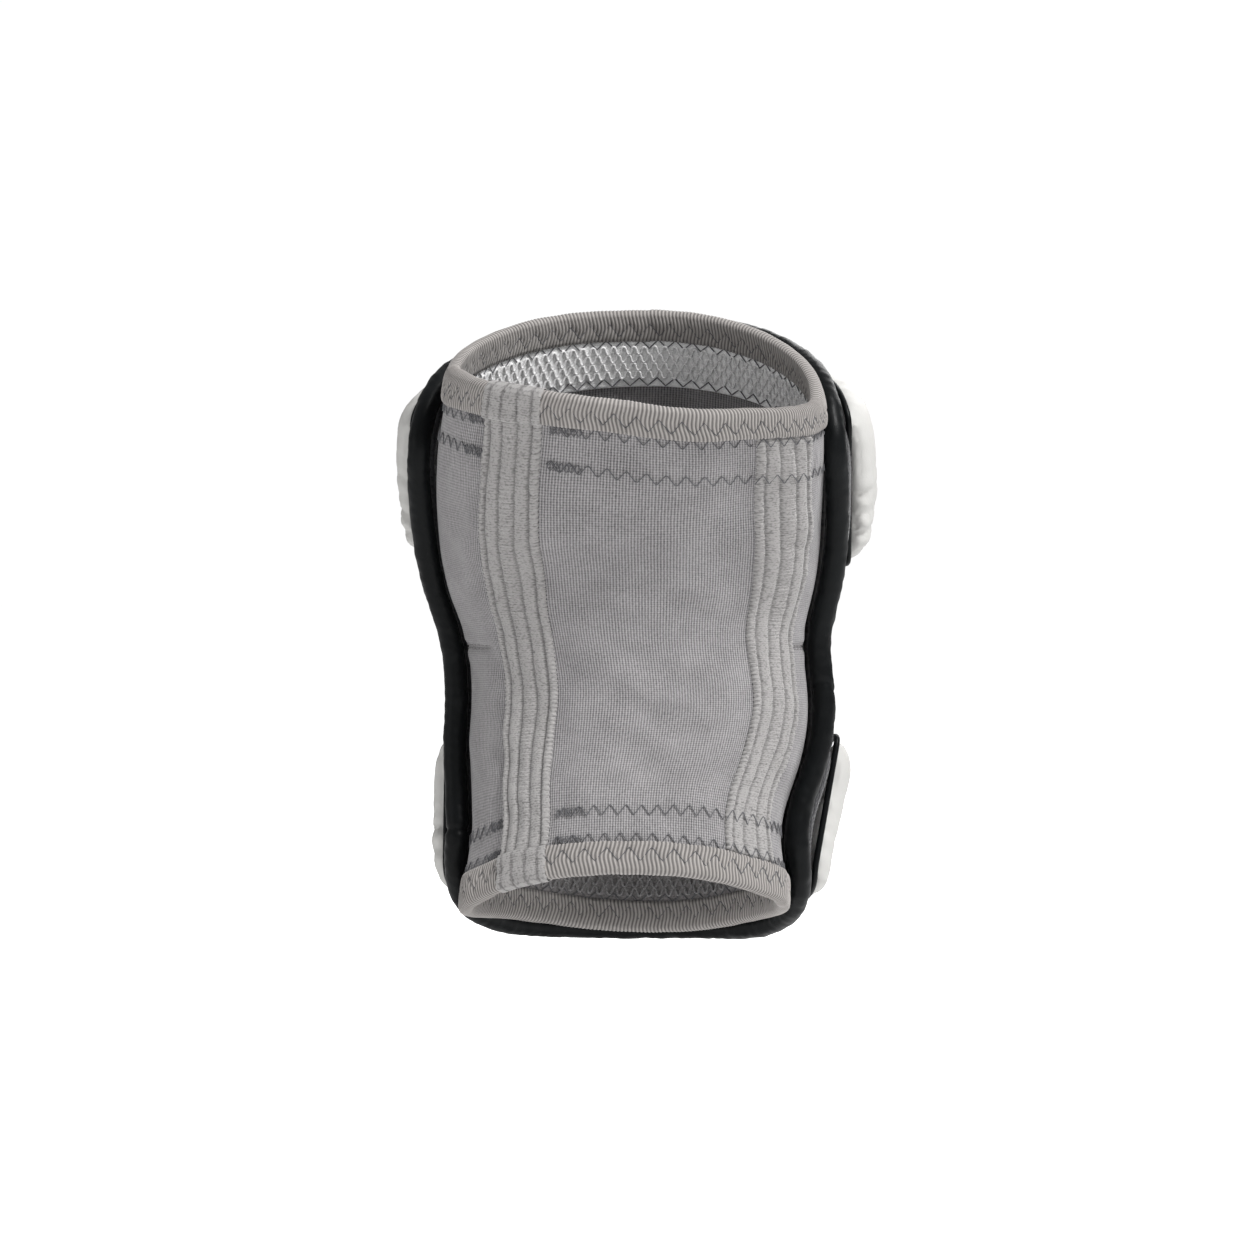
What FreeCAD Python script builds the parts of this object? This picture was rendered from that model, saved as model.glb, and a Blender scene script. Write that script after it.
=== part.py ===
import FreeCAD, Part
import math
import os

# Pull-on knee guard, in millimetres.
#
# Frame: +Z runs up the leg, +X to the wearer's right seen from behind, and +Y to the front, where
# the pads are. The origin is the middle of the leg at the knee's bending line.
#
# The guard is a stretch sleeve, sewn pre-bent, with a pad across its front. Every layer follows one
# surface, the sleeve's outside, which has three coordinates:
#   s      distance along the leg's centreline, 0 at the knee, positive up the thigh
#   angle  degrees round the leg: 0 at the back, 90 at +X, 180 at the front
#   d      height above the sleeve's outside; negative is inside the sleeve

# Driving dimensions
PREBEND_THIGH = 23.0  # degrees that the thigh end leans back
PREBEND_SHIN = 19.0  # degrees that the shin end leans back
BEND_LENGTH = 70.0  # the centreline is an arc this far each way from the knee, then straight
TOP_RIM = 127.0
BOTTOM_RIM = -108.5
HALF_WIDTHS = ((BOTTOM_RIM, 63.5), (0.0, 72.5), (65.0, 79.0), (TOP_RIM, 74.5))
HALF_DEPTHS = ((BOTTOM_RIM, 49.0), (0.0, 55.0), (TOP_RIM, 60.0))
BACK_DEPTHS = ((BOTTOM_RIM, 31.0), (0.0, 29.0), (TOP_RIM, 26.0))  # from the widest line to the back

FABRIC = 2.0
GAP = 0.3  # clearance between neighbouring layers and panels

# Sleeve
SEAM_ANGLES = (-35.0, 54.0)  # the left and right seams of the back panel, which sits off centre
FRONT_ANGLE = 90.0  # where the side panels meet the front lining
TAPE_HALF_ANGLES = (9.5, 12.5)
TAPE_THICK = 1.2
BINDING_WIDTH = 11.0
BINDING_THICK = 1.3
GRIP_WIDTH = 21.0
GRIP_THICK = 1.2
BEAD_ROWS = 4
BEAD_WIDTH = 2.2
BEAD_HEIGHT = 0.6
BEAD_GAP = 0.15

# Pad
PAD_TOP = 112.0
PAD_BOTTOM = -100.0
PAD_ANGLE = 96.0  # the pad's side edges
PAD_CORNER = 26.0  # corner radius along the leg
PAD_CORNER_ANGLE = 24.0  # and round it, in degrees
PAD_BACK = 1.9  # the pad clears the rim bindings
BASE_FOAM = 10.8
COVER = 1.0
ROLL_RADIUS = 4.8
ROLL_CORD_RADIUS = 3.9
ROLL_ANGLE = 91.0
ROLL_TOP = 118.0
ROLL_BOTTOM = -106.0
WINDOW_RADIUS = 57.0  # the pads are cut away round the knee cup

# Cushions: (side edge, middle edge) nearest the knee, and the edge nearest the rim
CUSHION_ANGLE = 78.0  # half span round the leg, from the front
THIGH_CUSHION = ((35.0, 60.0), 108.0)
SHIN_CUSHION = ((-38.0, -60.0), -97.0)
CUSHION_MIDDLE = 19.0
CUSHION_END = (21.0, 18.5)  # thigh, shin
CUSHION_EDGE = 3.0
CUSHION_CORNER = 18.0  # corner radius along the leg
CUSHION_CORNER_SHARE = 0.22  # and as a share of the half span
SKIN = 1.2

# Knee cup
CUP_HALF_HEIGHT = 31.0
CUP_HALF_ANGLE = 29.0
CUP_BACK = 4.5  # its own clearance above the sleeve, so that it can turn between the two pads
CUP_BASE = 7.0
CUP_CROWN = 17.0

# Bending
PIVOT_Y = -32.0
FLEX_MORE = 45.0  # degrees that the shin can bend back from rest
FLEX_LESS = 10.0  # degrees that it can straighten from rest
ZONE_CLEARANCE = 0.6
FAR = 400.0

LENGTH_STATIONS = 25
ANGLE_STEP = 4.0  # between the points that a curve round the leg passes through
CUSHION_STATIONS = 15
CUSHION_ROWS = 9
CUSHION_SHARE = 0.99  # the last station stops just short, where the outline would close


def through(stations, s):
    """The value at s of the polynomial that passes through (s, value) stations."""
    total = 0.0
    for i, (s_i, value) in enumerate(stations):
        weight = 1.0
        for j, (s_j, _) in enumerate(stations):
            if j != i:
                weight *= (s - s_j) / (s_i - s_j)
        total += weight * value
    return total


def centreline(s):
    """(y, z, lean) of the leg's centreline: lean is its tilt towards the back, in radians, going up."""
    bend = math.radians(PREBEND_THIGH if s >= 0 else PREBEND_SHIN)
    radius = BEND_LENGTH / bend
    on_arc = min(abs(s), BEND_LENGTH)
    turn = on_arc / radius
    past = abs(s) - on_arc
    y = -radius * (1 - math.cos(turn)) - past * math.sin(turn)
    z = radius * math.sin(turn) + past * math.cos(turn)
    return (y, z, turn) if s >= 0 else (y, -z, -turn)


def point(s, angle, d):
    y, z, lean = centreline(s)
    a = math.radians(angle)
    across = (through(HALF_WIDTHS, s) + d) * math.sin(a)
    middle, back = through(HALF_DEPTHS, s), through(BACK_DEPTHS, s)
    reach = back if math.cos(a) > 0 else 2 * middle - back
    forward = back - middle - (reach + d) * math.cos(a)
    return FreeCAD.Vector(across, y + forward * math.cos(lean), z + forward * math.sin(lean))


def spread(low, high, count):
    return [low + (high - low) * i / (count - 1) for i in range(count)]


def filled(closed):
    """The solid inside a closed shell, whichever way the shell faces."""
    solid = Part.makeSolid(closed.Shells[0])
    if solid.Volume < 0:
        solid.reverse()
    return solid


def slab(lower, upper):
    """A solid between two grids of points, one above the other."""
    sheets = []
    for grid in (lower, upper):
        surface = Part.BSplineSurface()
        surface.interpolate(grid)
        sheets.append(surface.toShape())
    sides = [Part.makeRuledSurface(a, b) for a, b in zip(sheets[0].Edges, sheets[1].Edges)]
    sewn = Part.makeCompound(sheets + sides)
    sewn.sewShape()
    return filled(sewn)


def ring_wire(s, d):
    """The whole way round the leg at s."""
    spline = Part.BSplineCurve()
    count = round(360 / ANGLE_STEP)
    spline.interpolate([point(s, ANGLE_STEP * i, d) for i in range(count)], True)
    return Part.Wire([spline.toShape()])


def ring(s_low, s_high, d_low, d_high, stations=4):
    """A band the whole way round the leg."""
    along = spread(s_low, s_high, stations)
    outside = Part.makeLoft([ring_wire(s, d_high) for s in along], True)
    inside = Part.makeLoft([ring_wire(s, d_low) for s in spread(s_low - 1, s_high + 1, stations)], True)
    return outside.cut(inside)


def patch(s_low, s_high, angle_low, angle_high, d_low, d_high, stations=LENGTH_STATIONS):
    """A curved sheet between two distances, two angles and two heights."""
    along = spread(s_low, s_high, stations)
    angles = spread(angle_low, angle_high, 3 + int((angle_high - angle_low) / ANGLE_STEP))
    return slab(*[[[point(s, a, d) for a in angles] for s in along] for d in (d_low, d_high)])


def drawn_in(past, corner):
    """How far a rounded corner draws an edge in, where past is the distance into the corner.

    Both are shares of the corner's own length, so that 1 draws it in fully.
    """
    share = min(max(past / corner, 0.0), 1.0)
    return 1 - math.sqrt(1 - share * share)


def pad_sheet(d_low, d_high):
    """A sheet with the pad's rounded outline."""
    rows = [0.0, 0.1, 0.3, 0.6, 1.0]
    along = [PAD_BOTTOM + PAD_CORNER * row for row in rows]
    along += spread(PAD_BOTTOM + PAD_CORNER, PAD_TOP - PAD_CORNER, 9)[1:-1]
    along += [PAD_TOP - PAD_CORNER * row for row in reversed(rows)]
    grids = ([], [])
    for s in along:
        past = max(s - (PAD_TOP - PAD_CORNER), (PAD_BOTTOM + PAD_CORNER) - s)
        edge = PAD_ANGLE + PAD_CORNER_ANGLE * drawn_in(past, PAD_CORNER)
        angles = spread(edge, 360 - edge, 17)
        for grid, d in zip(grids, (d_low, d_high)):
            grid.append([point(s, a, d) for a in angles])
    return slab(*grids)


def pillow(reach, half_angle, base, middle, end, inset=0.0):
    """A crowned pad over the front.

    reach(share) gives its (low, high) edges along the leg at a share from -1 to 1 of its half angle.
    inset draws every face in, for the foam inside a skin.
    """
    lower, upper = [], []
    for i in range(CUSHION_STATIONS):
        share = -math.cos(math.pi * i / (CUSHION_STATIONS - 1)) * CUSHION_SHARE
        low, high = reach(share)
        low, high = low + inset, high - inset
        angle = 180 + share * (half_angle - inset)
        top = end + (middle - end) * (1 - abs(share))
        rows = ([], [])
        for j in range(CUSHION_ROWS):
            t = -math.cos(math.pi * j / (CUSHION_ROWS - 1))
            s = (low + high) / 2 + t * (high - low) / 2
            dome = math.sqrt((1 - t ** 4) * (1 - share ** 8))
            rows[0].append(point(s, angle, base + inset))
            rows[1].append(point(s, angle, base + CUSHION_EDGE - inset + (top - CUSHION_EDGE) * dome))
        lower.append(rows[0])
        upper.append(rows[1])
    return slab(lower, upper)


def cushion_reach(near, far):
    """The edges of a thigh or shin cushion, arched on the side that faces the knee cup."""
    side, middle = near
    corner = CUSHION_CORNER if far > side else -CUSHION_CORNER

    def reach(share):
        inner = side + (middle - side) * (1 - share * share)
        rounding = corner * drawn_in(abs(share) - (1 - CUSHION_CORNER_SHARE), CUSHION_CORNER_SHARE)
        inner, outer = inner + rounding, far - rounding
        return min(inner, outer), max(inner, outer)

    return reach


def cup_reach(share):
    half = CUP_HALF_HEIGHT * math.sqrt(1 - share * share)
    return -half, half


def skin_and_foam(reach, half_angle, base, middle, end):
    """A cushion's skin, a closed shell, and the foam that fills it."""
    whole = pillow(reach, half_angle, base, middle, end)
    hollow = pillow(reach, half_angle, base, middle, end, SKIN)
    foam = pillow(reach, half_angle, base, middle, end, SKIN + GAP / 2)
    return whole.cut(hollow), foam


def roll(radius, end, overlap):
    """Half of the edge roll: up one side of the pad, across its end and down the other side.

    Each side starts the overlap's length past the knee.
    """
    way = 1 if end > 0 else -1
    corner = end - way * PAD_CORNER
    route = [(s, ROLL_ANGLE) for s in spread(-overlap * way, corner, 11)]
    for i in range(1, 6):
        q = math.radians(15 * i)
        angle = ROLL_ANGLE + PAD_CORNER_ANGLE * (1 - math.cos(q))
        route.append((corner + way * PAD_CORNER * math.sin(q), angle))
    route += [(end, a) for a in spread(ROLL_ANGLE + PAD_CORNER_ANGLE, 180, 9)]
    route += [(s, 360 - a) for s, a in route[-2::-1]]
    along = [point(s, a, PAD_BACK + ROLL_RADIUS) for s, a in route]
    middle = FreeCAD.Vector(0, 0, 0)
    wires = []
    for i, centre in enumerate(along):
        ahead = along[min(i + 1, len(along) - 1)] - along[max(i - 1, 0)]
        outward = point(*route[i], 2 * ROLL_RADIUS + PAD_BACK) - centre
        halves = [Part.makeCircle(radius, middle, FreeCAD.Vector(0, 0, 1), a, a + 180) for a in (0, 180)]
        circle = Part.Wire(halves)
        turn = FreeCAD.Rotation(ahead.cross(outward), outward, ahead, "ZYX")
        circle.Placement = FreeCAD.Placement(centre, turn)
        wires.append(circle)
    return filled(Part.makeLoft(wires, True))


def zone(upper):
    """Everything that belongs to the thigh half, or to the shin half.

    Behind the pivot each half stops short by half of the bending, and in front of it by half of the
    straightening, so that the two never meet.
    """
    back = math.radians(FLEX_MORE / 2)
    front = math.radians(FLEX_LESS / 2)
    side = 1 if upper else -1
    outline = [
        (PIVOT_Y, ZONE_CLEARANCE),
        (PIVOT_Y - FAR, ZONE_CLEARANCE + FAR * math.tan(back)),
        (PIVOT_Y - FAR, 2 * FAR),
        (PIVOT_Y + FAR, 2 * FAR),
        (PIVOT_Y + FAR, ZONE_CLEARANCE + FAR * math.tan(front)),
    ]
    corners = [FreeCAD.Vector(-FAR, y, side * z) for y, z in outline]
    face = Part.Face(Part.makePolygon(corners + corners[:1]))
    return face.extrude(FreeCAD.Vector(2 * FAR, 0, 0))


def bound(rim, inward):
    """The folded binding over a rim. inward is -1 at the top rim and 1 at the bottom one."""
    edge = rim - inward * BINDING_THICK
    deep = rim + inward * BINDING_WIDTH
    inner, outer = -FABRIC - GAP - BINDING_THICK, GAP + BINDING_THICK
    block = ring(min(edge, deep), max(edge, deep), inner, outer)
    slot = ring(min(rim, deep + inward), max(rim, deep + inward), -FABRIC - GAP, GAP)
    return block.cut(slot)


def tape_end(rim, inward):
    """The left seam tape's end, folded over the binding on both sides of the rim."""
    clear = BINDING_THICK + 2 * GAP
    edge = rim - inward * (clear + TAPE_THICK)
    deep = rim + inward * (BINDING_WIDTH - GAP)
    low, high = SEAM_ANGLES[0] - TAPE_HALF_ANGLES[0], SEAM_ANGLES[0] + TAPE_HALF_ANGLES[0]
    inner, outer = -FABRIC - clear, clear
    block = patch(min(edge, deep), max(edge, deep), low, high, inner - TAPE_THICK, outer + TAPE_THICK, 3)
    stop = rim - inward * clear
    past = deep + inward
    slot = patch(min(stop, past), max(stop, past), low - 2, high + 2, inner, outer, 3)
    return block.cut(slot)


def grip_band(rim, inward):
    """The stretch band inside the sleeve, just past the binding, and the rows of silicone on it."""
    near = rim + inward * (BINDING_WIDTH + GAP)
    far = near + inward * GRIP_WIDTH
    inner = -FABRIC - GAP - GRIP_THICK
    band = ring(min(near, far), max(near, far), inner, -FABRIC - GAP)
    rows = []
    for row in range(BEAD_ROWS):
        middle = near + inward * GRIP_WIDTH * (row + 0.75) / (BEAD_ROWS + 0.5)
        low, high = middle - BEAD_WIDTH / 2, middle + BEAD_WIDTH / 2
        rows.append(ring(low, high, inner - BEAD_HEIGHT, inner - BEAD_GAP, 3))
    return band, Part.makeCompound(rows)


def save(name, shape):
    solids = shape.Solids
    print(f"{name:26s} {len(solids)} solid(s), {shape.Volume / 1000:8.2f} cm3, valid {shape.isValid()}")
    whole = solids[0] if len(solids) == 1 else Part.makeCompound(solids)
    whole.exportStep(f"parts/{name}.step")


def save_halves(name, shape):
    """Splits a layer that crosses the knee into its thigh and shin nodes."""
    save(name + "_upper", shape.common(zone(True)))
    save(name + "_lower", shape.common(zone(False)))


def sleeve():
    apart = GAP / 2 / 64 * 57.3  # half the gap between panels, in degrees
    left, right = SEAM_ANGLES
    panels = {
        "back_panel": (left, right),
        "side_panel_right": (right, FRONT_ANGLE),
        "front_lining": (FRONT_ANGLE, 360 - FRONT_ANGLE),
        "side_panel_left": (-FRONT_ANGLE, left),
    }
    for name, (low, high) in panels.items():
        save_halves(name, patch(BOTTOM_RIM, TOP_RIM, low + apart, high - apart, -FABRIC, 0))
    end = BINDING_WIDTH + GAP
    for side, middle, half in zip(("left", "right"), SEAM_ANGLES, TAPE_HALF_ANGLES):
        tape = patch(BOTTOM_RIM + end, TOP_RIM - end, middle - half, middle + half, GAP, GAP + TAPE_THICK)
        save_halves(f"seam_tape_{side}", tape)


def rims():
    for name, rim, inward in (("top", TOP_RIM, -1), ("bottom", BOTTOM_RIM, 1)):
        save(f"{name}_binding", bound(rim, inward))
        save(f"{name}_tape_end", tape_end(rim, inward))
        band, beads = grip_band(rim, inward)
        save(f"{name}_grip_band", band)
        save(f"{name}_grip_beads", beads)


def pads():
    window = Part.makeCylinder(WINDOW_RADIUS, FAR, FreeCAD.Vector(0, 0, 0), FreeCAD.Vector(0, 1, 0))
    foam_top = PAD_BACK + BASE_FOAM
    save_halves("pad_base_foam", pad_sheet(PAD_BACK, foam_top).cut(window))
    save_halves("pad_cover", pad_sheet(foam_top + GAP, foam_top + GAP + COVER).cut(window))
    for half, end in (("upper", ROLL_TOP), ("lower", ROLL_BOTTOM)):
        cord = roll(ROLL_CORD_RADIUS, end, 16)
        skin = roll(ROLL_RADIUS, end, 14).cut(cord)
        save(f"edge_roll_{half}", skin.common(zone(end > 0)))
        save(f"edge_roll_cord_{half}", cord.common(zone(end > 0)))


def cushions():
    base = PAD_BACK + BASE_FOAM + 2 * GAP + COVER
    kinds = zip(("thigh_cushion", "shin_cushion"), (THIGH_CUSHION, SHIN_CUSHION), CUSHION_END)
    for name, edges, end in kinds:
        reach = cushion_reach(*edges)
        skin, foam = skin_and_foam(reach, CUSHION_ANGLE, base, CUSHION_MIDDLE, end)
        save(f"{name}_cover", skin)
        save(f"{name}_foam", foam)


def knee_cup():
    base = pillow(cup_reach, CUP_HALF_ANGLE, CUP_BACK, CUP_BASE, CUP_BASE)
    save("knee_cup_base_foam", base)
    crown = CUP_BACK + CUP_BASE + GAP
    skin, foam = skin_and_foam(cup_reach, CUP_HALF_ANGLE, crown, CUP_CROWN, CUP_CROWN)
    save("knee_cup_cover", skin)
    save("knee_cup_foam", foam)


os.makedirs("parts", exist_ok=True)
sleeve()
rims()
pads()
cushions()
knee_cup()
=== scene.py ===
import bpy
import math
import numpy as np
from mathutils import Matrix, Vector, kdtree


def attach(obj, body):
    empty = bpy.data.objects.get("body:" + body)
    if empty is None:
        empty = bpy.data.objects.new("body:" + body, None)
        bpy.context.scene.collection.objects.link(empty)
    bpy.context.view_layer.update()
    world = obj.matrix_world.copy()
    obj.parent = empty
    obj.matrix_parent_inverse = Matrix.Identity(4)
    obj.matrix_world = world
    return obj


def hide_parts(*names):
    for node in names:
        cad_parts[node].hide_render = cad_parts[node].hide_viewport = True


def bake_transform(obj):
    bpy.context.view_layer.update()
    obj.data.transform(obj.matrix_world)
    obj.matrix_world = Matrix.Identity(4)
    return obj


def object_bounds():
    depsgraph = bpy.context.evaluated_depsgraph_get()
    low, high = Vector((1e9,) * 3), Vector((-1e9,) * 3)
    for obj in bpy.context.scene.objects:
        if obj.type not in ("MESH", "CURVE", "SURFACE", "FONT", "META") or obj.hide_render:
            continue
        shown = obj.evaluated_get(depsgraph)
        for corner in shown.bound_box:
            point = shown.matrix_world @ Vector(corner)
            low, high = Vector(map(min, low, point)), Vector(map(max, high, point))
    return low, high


# A pull-on knee guard in grey jersey, seen from behind. Lengths in the helpers are millimetres, and
# make() turns them into metres. Every layer follows the sleeve's outside, as the CAD does:
#   s  distance along the leg's centreline, 0 at the knee and positive up the thigh
#   a  degrees round the leg: 0 at the back, 90 at +X, 180 at the front
#   d  height above the sleeve's outside; negative is inside

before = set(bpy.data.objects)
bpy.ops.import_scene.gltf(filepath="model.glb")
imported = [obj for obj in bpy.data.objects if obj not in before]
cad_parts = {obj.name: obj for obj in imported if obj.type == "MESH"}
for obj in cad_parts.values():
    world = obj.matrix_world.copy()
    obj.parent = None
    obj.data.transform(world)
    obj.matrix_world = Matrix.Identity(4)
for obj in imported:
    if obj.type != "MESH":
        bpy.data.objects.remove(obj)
cad_low, cad_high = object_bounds()

TOP, BOTTOM = 127.0, -108.5
PREBEND = (23.0, 19.0)  # degrees that the thigh and shin ends lean back
BEND_LENGTH = 70.0  # the centreline is an arc this far each way from the knee, then straight
WIDTHS = ((BOTTOM, 63.5), (0.0, 72.5), (65.0, 79.0), (TOP, 74.5))
DEPTHS = ((BOTTOM, 49.0), (0.0, 55.0), (TOP, 60.0))
BACKS = ((BOTTOM, 31.0), (0.0, 29.0), (TOP, 26.0))
SEAMS = (-35.0, 54.0)  # the back panel's edges, in degrees
TAPE_HALVES = (11.0, 12.8)  # the tapes' half widths, in degrees
FRONT = 96.0  # where the side panels meet the front lining
ROWS = (-0.74, -0.27, 0.27, 0.74)  # the tapes' stitch rows, as shares of the half width
TAPE_UV = 11.0  # the tapes' half width in their UV map, in mm
BIND = 11.0  # width of the rim bindings
RIB_PITCH = 1.45  # of the bindings' cross ribs
SIDE_SCALE = 1.3  # about how many mm a degree is, round the leg
THIGH, SHIN, CUP = "thigh_half", "shin_half", "knee_cap"
BOTH = (THIGH, SHIN)


# ---- the leg's surface

def through(stations, s):
    """The value at s of the polynomial that passes through (s, value) stations."""
    total = np.zeros_like(s)
    for i, (s_i, value) in enumerate(stations):
        weight = np.ones_like(s)
        for j, (s_j, _) in enumerate(stations):
            if j != i:
                weight = weight * (s - s_j) / (s_i - s_j)
        total = total + value * weight
    return total


def at(s, a, d):
    """Points on the surface, in mm, for arrays of s, a and d."""
    s, a, d = np.broadcast_arrays(*(np.asarray(v, float) for v in (s, a, d)))
    bend = np.where(s >= 0, math.radians(PREBEND[0]), math.radians(PREBEND[1]))
    radius = BEND_LENGTH / bend
    arc = np.minimum(abs(s), BEND_LENGTH)
    turn = arc / radius
    past = abs(s) - arc
    y = -radius * (1 - np.cos(turn)) - past * np.sin(turn)
    z = np.sign(s) * (radius * np.sin(turn) + past * np.cos(turn))
    lean = np.sign(s) * turn
    angle = np.radians(a)
    pinch = 3.0 * np.exp(-((s - 6) / 22) ** 2)
    across = (through(WIDTHS, s) - pinch + d) * np.sin(angle)
    middle, back = through(DEPTHS, s), through(BACKS, s)
    reach = np.where(np.cos(angle) > 0, back, 2 * middle - back)
    f = back - middle - (reach + d) * np.cos(angle)
    wider = 2.8 * np.exp(-((s + 46) / 24) ** 2) + 2.5 * smooth(-s, 80, 104)
    shift = 3.0 * np.exp(-((s + 25) / 28) ** 2) - 1.5 * smooth(-s, 50, 80)
    across = across + wider * np.sin(angle) + shift
    return np.stack([across, y + f * np.cos(lean), z + f * np.sin(lean)], -1)


def smooth(x, low, high):
    """0 below low and 1 above high, with a smooth step between."""
    t = np.clip((x - low) / (high - low), 0, 1)
    return t * t * (3 - 2 * t)


def ripple(u, v, length, seed):
    """Smooth seeded noise, about -1 to 1, with the given wavelength."""
    rng = np.random.default_rng(seed)
    total = 0
    for _ in range(7):
        way, phase = rng.uniform(0, 2 * math.pi, 2)
        k = 2 * math.pi / (length * rng.uniform(0.7, 1.5))
        total = total + np.sin(k * (u * math.cos(way) + v * math.sin(way)) + phase)
    return total / 3.2


def wrap(a):
    """An angle, from -180 to 180 degrees."""
    return (np.asarray(a, float) + 180) % 360 - 180


def relief(s, a):
    """How far the loose jersey stands off its plain shape at the back."""
    a = wrap(a)
    u = a * SIDE_SCALE
    behind = 1 - smooth(abs(a), 70, 92)
    drape = 0.95 * ripple(u, s, 60, 1) + 0.4 * ripple(u, s, 24, 2)
    pucker = np.exp(-((s - 100) / 7) ** 2) + np.exp(-((s + 83) / 7) ** 2)
    return behind * (drape + 0.28 * pucker * np.sin(u * 0.78) + 0.2)


def rim_shift(s, a):
    """The rims aren't level: the top one rises to the left, and the bottom one hangs at both sides."""
    a = wrap(a)
    tilt = -(7.5 - 4.5 * smooth(abs(a), 90, 150)) * np.sin(np.radians(a))
    tilt = tilt + 1.5 - 4 * smooth(abs(a), 60, 170)
    top = smooth(s, 75, TOP) * (tilt + 0.7 * ripple(a * SIDE_SCALE, 0 * a, 90, 5))
    hang = 2.2 - 9.5 * np.exp(-((a + 82) / 40) ** 2) - 6.0 * np.exp(-((a - 84) / 38) ** 2)
    hang = hang - 1.5 * smooth(abs(a), 110, 180)
    bottom = smooth(-s, 60, -BOTTOM) * (hang + 0.6 * ripple(a * SIDE_SCALE, 0 * a, 80, 6))
    return top + bottom


def lean_right(s):
    """How far the thigh opening leans to +X."""
    return 3.5 * smooth(s, 60, TOP)


def cloth(s, a, d):
    """at(), with the loose jersey's relief and the rims' tilt."""
    s, a, d = np.broadcast_arrays(*(np.asarray(v, float) for v in (s, a, d)))
    moved = at(s + rim_shift(s, a), a, d + relief(s, a))
    moved[..., 0] += lean_right(s)
    return moved


# ---- meshes

def make(name, points, faces, uv=None, material=None):
    """A mesh object from points, and a UV map, in millimetres."""
    mesh = bpy.data.meshes.new(name)
    mesh.from_pydata((np.asarray(points) * 0.001).tolist(), [], [list(f) for f in faces])
    if uv is not None:
        layer = mesh.uv_layers.new(name="UVMap")
        index = np.zeros(len(mesh.loops), int)
        mesh.loops.foreach_get("vertex_index", index)
        layer.data.foreach_set("uv", (np.asarray(uv)[index] * 0.001).ravel())
    mesh.polygons.foreach_set("use_smooth", [True] * len(mesh.polygons))
    mesh.validate()
    mesh.update()
    obj = bpy.data.objects.new(name, mesh)
    bpy.context.scene.collection.objects.link(obj)
    if material:
        mesh.materials.append(material)
    return obj


def grid_faces(n, m, offset=0, flip=False, wrap_n=False, wrap_m=False):
    """The quads of a grid of n by m points, closed along n or m if it wraps."""
    i = np.arange(n if wrap_n else n - 1)
    j = np.arange(m if wrap_m else m - 1)
    i, j = np.meshgrid(i, j, indexing="ij")
    i2, j2 = (i + 1) % n, (j + 1) % m
    quad = np.stack([i * m + j, i * m + j2, i2 * m + j2, i2 * m + j], -1).reshape(-1, 4) + offset
    return quad[:, ::-1] if flip else quad


def shell(outer, inner, flip=False):
    """A closed sheet between two grids of points: its points and faces."""
    n, m = outer.shape[:2]
    points = np.concatenate([outer.reshape(-1, 3), inner.reshape(-1, 3)])
    size = n * m
    faces = [grid_faces(n, m), grid_faces(n, m, size, True)]
    ring = list(range(m)) + [i * m + m - 1 for i in range(1, n)]
    ring += [(n - 1) * m + j for j in range(m - 2, -1, -1)] + [i * m for i in range(n - 2, 0, -1)]
    ring = np.array(ring)
    after = np.roll(ring, -1)
    faces.append(np.stack([after, ring, ring + size, after + size], -1))
    faces = np.concatenate(faces)
    return points, (faces[:, ::-1] if flip else faces)


def sheet(name, s, a, outer_d, inner_d, material):
    """A panel of jersey over a grid of s and a."""
    s, a = np.meshgrid(np.asarray(s, float), np.asarray(a, float), indexing="ij")
    outer = cloth(s, a, outer_d(s, a) if callable(outer_d) else outer_d)
    inner = cloth(s, a, inner_d)
    points, faces = shell(outer, inner)
    uv = np.stack([a * SIDE_SCALE, s], -1).reshape(-1, 2)
    obj = make(name, points, faces, np.concatenate([uv, uv]), material)
    return obj


def tube(path, radius, sides=6, closed=False):
    """A round tube along a line of points: its points and faces."""
    path = np.asarray(path, float)
    n = len(path)
    ahead = np.roll(path, -1, 0) - np.roll(path, 1, 0) if closed else np.gradient(path, axis=0)
    ahead /= np.linalg.norm(ahead, axis=1)[:, None] + 1e-12
    side = np.cross(ahead[0], (0.3, 0.2, 0.93))
    frames = []
    for t in ahead:
        side = side - t * side.dot(t)
        side = side / np.linalg.norm(side)
        frames.append((side, np.cross(t, side)))
    frames = np.array(frames)
    turn = np.arange(sides) * 2 * math.pi / sides
    radius = np.broadcast_to(np.asarray(radius, float), (n,))
    cosine, sine = np.cos(turn)[None, :, None], np.sin(turn)[None, :, None]
    around = cosine * frames[:, 0][:, None] + sine * frames[:, 1][:, None]
    points = path[:, None] + radius[:, None, None] * around
    faces = [list(f) for f in grid_faces(n, sides, 0, False, closed, True)]
    if not closed:
        faces += [list(range(sides))[::-1], [(n - 1) * sides + k for k in range(sides)]]
    return points.reshape(-1, 3), faces


def together(parts):
    """Several (points, faces) as one."""
    points, faces, base = [], [], 0
    for p, f in parts:
        points.append(p)
        faces += [[int(k) + base for k in face] for face in f]
        base += len(p)
    return np.concatenate(points), faces


def stitches(route, length, gap, radius):
    """Short threads laid end to end along a dense line of points."""
    route = np.asarray(route, float)
    step = np.linalg.norm(np.diff(route, axis=0), axis=1)
    far = np.concatenate([[0], np.cumsum(step)])
    parts = []
    start = gap
    while start + length < far[-1]:
        where = start + length * np.array([0, 0.18, 0.5, 0.82, 1])
        line = np.stack([np.interp(where, far, route[:, k]) for k in range(3)], -1)
        parts.append(tube(line, radius * np.array([0.45, 0.95, 1, 0.95, 0.45]), 5))
        start += length + gap
    return together(parts)


# ---- materials

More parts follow.
